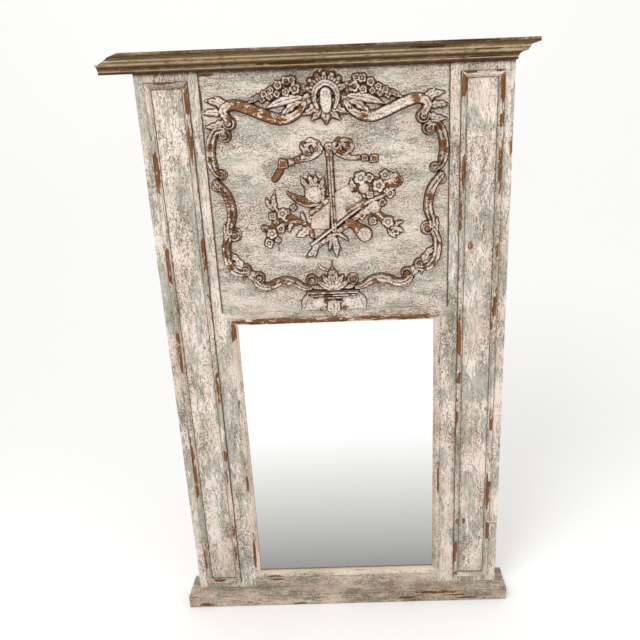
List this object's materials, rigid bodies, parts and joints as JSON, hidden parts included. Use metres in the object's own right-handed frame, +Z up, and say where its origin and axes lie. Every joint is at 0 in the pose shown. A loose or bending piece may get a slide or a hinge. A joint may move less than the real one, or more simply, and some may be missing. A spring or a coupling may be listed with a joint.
{
  "type": "trumeau mirror",
  "caption": "Tall painted wood trumeau mirror: looking glass under a carved panel, between framed pilasters, with a crown and a plank base.",
  "frame": {"origin": "middle of the underside of the base plank, where the mirror stands", "axes": "+X runs along the width to the viewer's right, the front faces -Y, +Y points to the wall, +Z is up"},
  "size_m": [1.138, 0.112, 1.732],
  "materials": {
    "distressed_paint": "worn grey-green and cream paint over brown wood, matte",
    "carving_paint": "carved wood in worn cream paint, brown on the high edges, matte",
    "crown_paint": "grimy olive-brown paint over brown wood, matte",
    "silvered_glass": "clear silvered looking glass",
    "hardboard": "brown pressed fibre board, rough side out",
    "bare_pine": "unpainted aged pine, sawn",
    "zinc_plated_steel": "dull zinc plate"
  },
  "bodies": {
    "mirror_frame": {"base_plinth": "distressed_paint", "bottom_batten": "bare_pine", "bottom_rail": "distressed_paint", "cap_board": "crown_paint", "crown_core": "crown_paint", "crown_end_block": "crown_paint", "flower_urn": "carving_paint", "glass_backing": "hardboard", "hanger_screws": "zinc_plated_steel", "horn": "carving_paint", "left_bottom_scroll": "carving_paint", "left_flower_spray": "carving_paint", "left_garland": "carving_paint", "left_hanger_strap": "zinc_plated_steel", "left_lower_side_scroll": "carving_paint", "left_middle_side_scroll": "carving_paint", "left_pilaster_board": "distressed_paint", "left_pilaster_frame_bottom": "distressed_paint", "left_pilaster_frame_left": "distressed_paint", "left_pilaster_frame_right": "distressed_paint", "left_pilaster_frame_top": "distressed_paint", "left_side_board": "distressed_paint", "left_top_scroll": "carving_paint", "left_upper_side_scroll": "carving_paint", "left_upright_batten": "bare_pine", "lower_crown_front": "crown_paint", "lower_crown_return": "crown_paint", "middle_batten": "bare_pine", "middle_rail": "distressed_paint", "mirror_glass": "silvered_glass", "plumed_hat": "carving_paint", "quiver": "carving_paint", "ribbon_bow": "carving_paint", "right_bottom_scroll": "carving_paint", "right_flower_spray": "carving_paint", "right_garland": "carving_paint", "right_hanger_strap": "zinc_plated_steel", "right_lower_side_scroll": "carving_paint", "right_middle_side_scroll": "carving_paint", "right_pilaster_board": "distressed_paint", "right_pilaster_frame_bottom": "distressed_paint", "right_pilaster_frame_left": "distressed_paint", "right_pilaster_frame_right": "distressed_paint", "right_pilaster_frame_top": "distressed_paint", "right_side_board": "distressed_paint", "right_top_scroll": "carving_paint", "right_upper_side_scroll": "carving_paint", "right_upright_batten": "bare_pine", "shell_crest": "carving_paint", "sight_moulding_bottom": "distressed_paint", "sight_moulding_left": "distressed_paint", "sight_moulding_right": "distressed_paint", "sight_moulding_top": "distressed_paint", "staff": "carving_paint", "top_batten": "bare_pine", "upper_crown_front": "crown_paint", "upper_crown_return": "crown_paint", "upper_panel": "distressed_paint"},
    "left_ring": {"left_hanger_ring": "zinc_plated_steel"},
    "right_ring": {"right_hanger_ring": "zinc_plated_steel"}
  },
  "joints": [
    {"name": "left_ring_swing", "type": "hinge", "parent": "mirror_frame", "child": "left_ring", "pos_m": [-0.322, 0.03415, 1.494], "axis": [1, 0, 0], "range_deg": [0, 178]},
    {"name": "right_ring_swing", "type": "hinge", "parent": "mirror_frame", "child": "right_ring", "pos_m": [0.322, 0.03415, 1.494], "axis": [1, 0, 0], "range_deg": [0, 178]}
  ]
}
